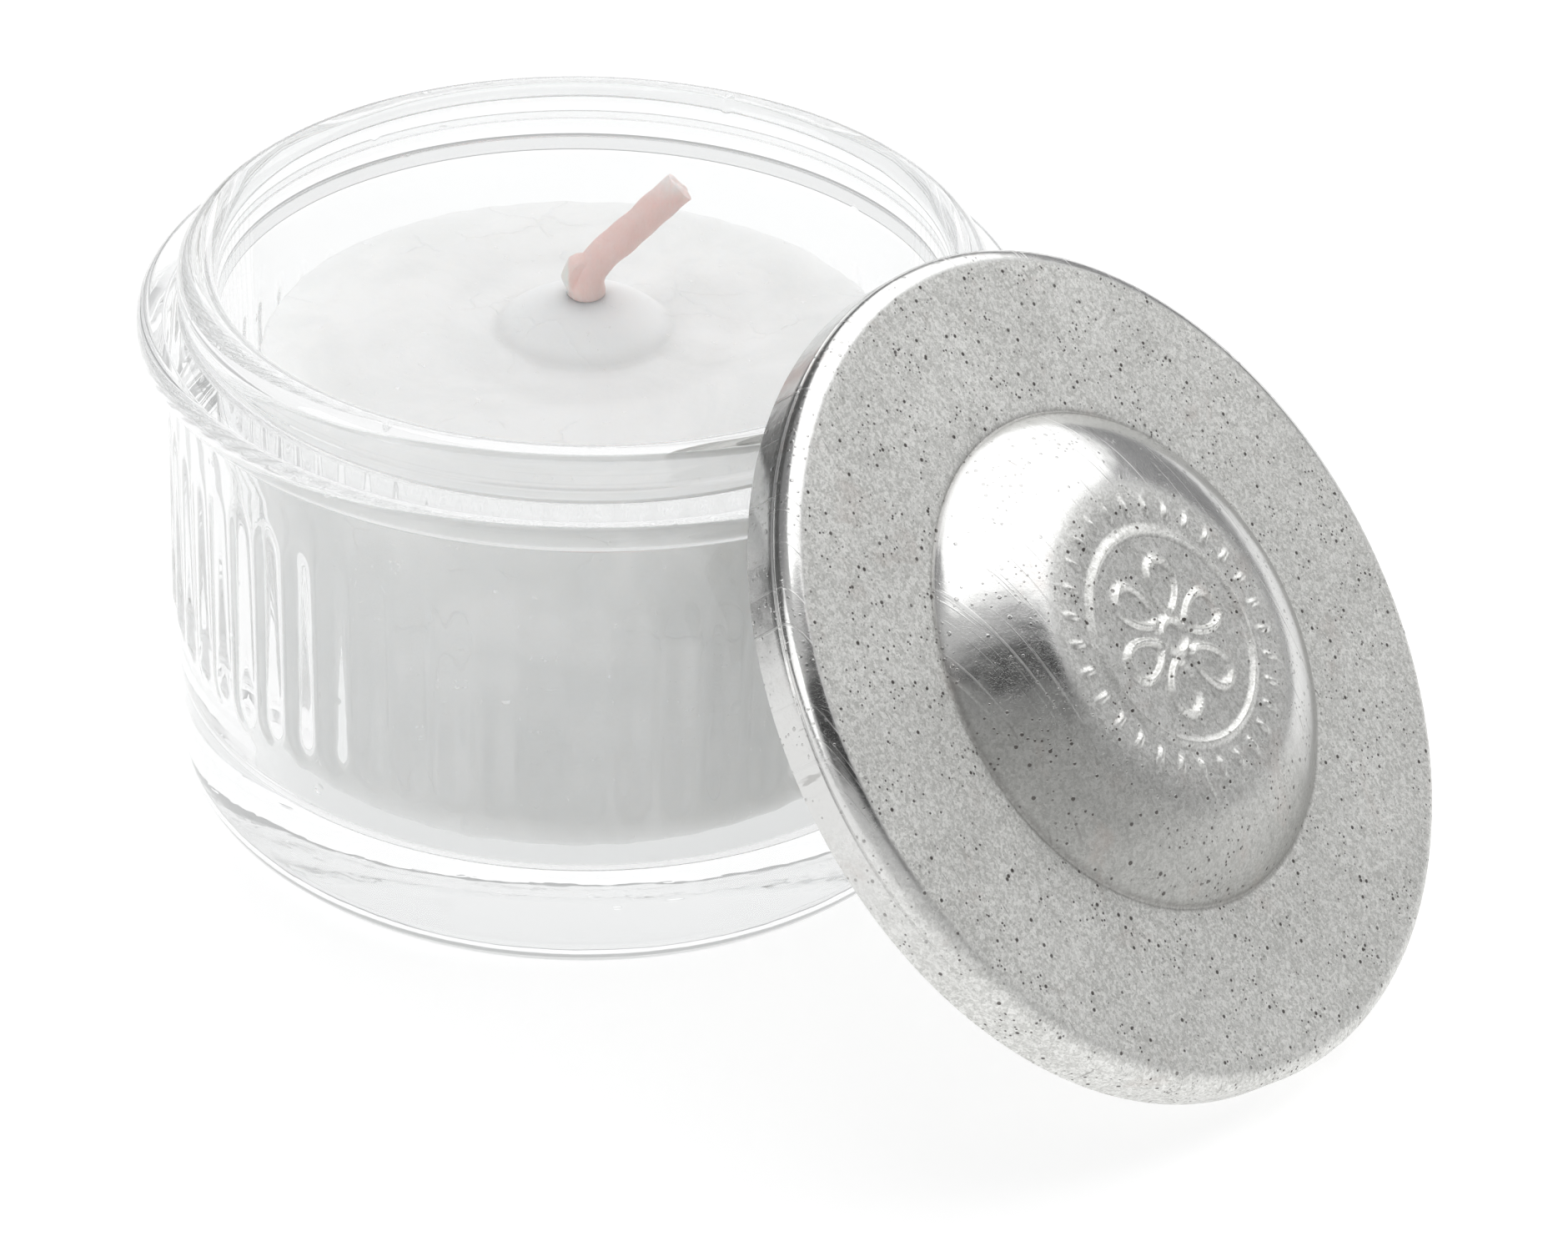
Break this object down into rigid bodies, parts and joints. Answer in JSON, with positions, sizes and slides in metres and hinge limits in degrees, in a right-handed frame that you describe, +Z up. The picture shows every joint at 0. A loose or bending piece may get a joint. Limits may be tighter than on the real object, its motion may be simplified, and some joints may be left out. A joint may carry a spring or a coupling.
{
  "type": "tealight holder",
  "caption": "Clear ribbed glass jar holding a white wax tealight, with a domed pressed-tin lid leaning against its rim.",
  "frame": {"origin": "centre of the jar's flat underside, on the jar's axis", "axes": "+Z up along the jar's axis, +X from the jar's axis towards the leaning lid"},
  "size_m": [0.081, 0.0528, 0.0393],
  "materials": {
    "glass": "clear pressed glass with faint mould ripple",
    "tin": "worn tinplate, fine mottled grain with small pits and scratches",
    "wax": "white paraffin wax, crumbly at the edges",
    "wick_cotton": "salmon pink cotton soaked in wax",
    "tab_steel": "bright pressed steel"
  },
  "bodies": {
    "jar": {"glass_jar": "glass"},
    "lid": {"tin_lid": "tin"},
    "candle": {"wax_block": "wax", "wick": "wick_cotton", "wick_sustainer": "tab_steel"}
  },
  "joints": [
    {"name": "lid_lift", "type": "slide", "parent": "jar", "child": "lid", "axis": [0, 0, 1], "range_m": [0, 0.05]},
    {"name": "candle_lift", "type": "slide", "parent": "jar", "child": "candle", "axis": [-0.0575, 0, 0.9983], "range_m": [0, 0.045]}
  ]
}
